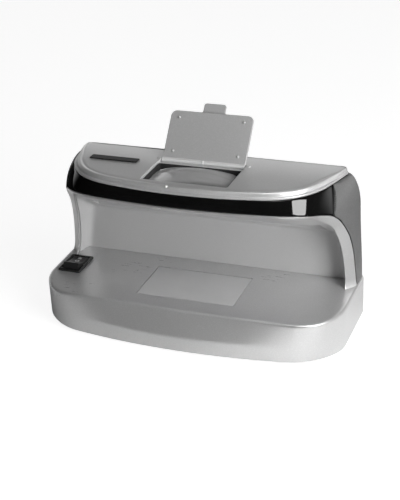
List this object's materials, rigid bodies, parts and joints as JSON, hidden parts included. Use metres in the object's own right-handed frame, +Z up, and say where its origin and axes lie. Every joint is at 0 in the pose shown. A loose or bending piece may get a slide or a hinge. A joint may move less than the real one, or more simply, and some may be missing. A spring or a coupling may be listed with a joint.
{
  "type": "counterfeit bill detector",
  "caption": "Desk-top ultraviolet note checker with a bow-fronted tray, arched lamp head, magnifier under a flap lid and a three-position rocker switch.",
  "frame": {"origin": "on the table plane, under the middle of the overall box with the lid open", "axes": "+X to the operator's right along the tray, +Y to the rear, +Z up; the feet stand on Z = 0"},
  "size_m": [0.19, 0.0876, 0.1245],
  "materials": {
    "silver": "satin silver paint on ABS",
    "silver_cover": "satin grey-silver paint on ABS",
    "pale_lining": "fine matt",
    "grey_shell": "fine satin texture",
    "lid_grey": "fine satin",
    "gloss_black": "high gloss",
    "clear_lens": "polished clear acrylic",
    "black_plastic": "satin",
    "rubber": "matt",
    "dark_plate": "fine texture",
    "steel": "zinc plated",
    "uv_glass": "dark violet filter glass",
    "aluminium": "bright",
    "white_plastic": "satin",
    "frosted": "frosted translucent",
    "board": "solder mask",
    "ferrite": "dull",
    "tape": "polyester tape",
    "sleeve": "shrink sleeve",
    "brass": "tinned",
    "wire_red": "PVC",
    "led": "epoxy",
    "badge": "printed"
  },
  "bodies": {
    "housing": {"base_shell": "silver", "front_frame": "silver", "top_cover": "silver_cover", "chamber_lining": "pale_lining", "rear_shell": "grey_shell", "gloss_band": "gloss_black", "magnifier_lens": "clear_lens", "lens_retainer": "black_plastic", "switch_housing": "black_plastic", "bottom_plate": "dark_plate", "lid_hinge_pin": "steel", "switch_pivot_pin": "steel", "uv_lamp_tube": "uv_glass", "lamp_cap_left": "aluminium", "lamp_cap_right": "aluminium", "lamp_holder_left": "white_plastic", "lamp_holder_right": "white_plastic", "lamp_reflector": "aluminium", "backlight_window": "frosted", "backlight_box": "white_plastic", "backlight_board": "board", "ballast_board": "board", "ballast_transformer": "ferrite", "ballast_choke": "tape", "ballast_capacitor": "sleeve", "dc_jack": "black_plastic", "lamp_lead_left": "wire_red", "lamp_lead_right": "wire_red", "switch_lead": "black_plastic", "name_plate": "badge", "rear_screw_left": "steel", "rear_screw_right": "steel", "base_screw_fl": "steel", "rubber_foot_fl": "rubber", "base_screw_fr": "steel", "rubber_foot_fr": "rubber", "base_screw_rl": "steel", "rubber_foot_rl": "rubber", "base_screw_rr": "steel", "rubber_foot_rr": "rubber", "retainer_screw_1": "steel", "backlight_led_1": "led", "retainer_screw_2": "steel", "backlight_led_2": "led", "retainer_screw_3": "steel", "backlight_led_3": "led", "retainer_screw_4": "steel", "backlight_led_4": "led", "switch_terminal_1": "brass", "switch_terminal_2": "brass", "switch_terminal_3": "brass"},
    "lid": {"magnifier_lid": "lid_grey"},
    "rocker": {"switch_rocker": "black_plastic"}
  },
  "joints": [
    {"name": "lid_hinge", "type": "hinge", "parent": "housing", "child": "lid", "pos_m": [0, 0.01736, 0.0962], "axis": [1, 0, 0], "range_deg": [0, 129.5]},
    {"name": "rocker_pivot", "type": "hinge", "parent": "housing", "child": "rocker", "pos_m": [-0.0822, -0.00054, 0.0265], "axis": [1, 0, 0], "range_deg": [0, 24]}
  ]
}
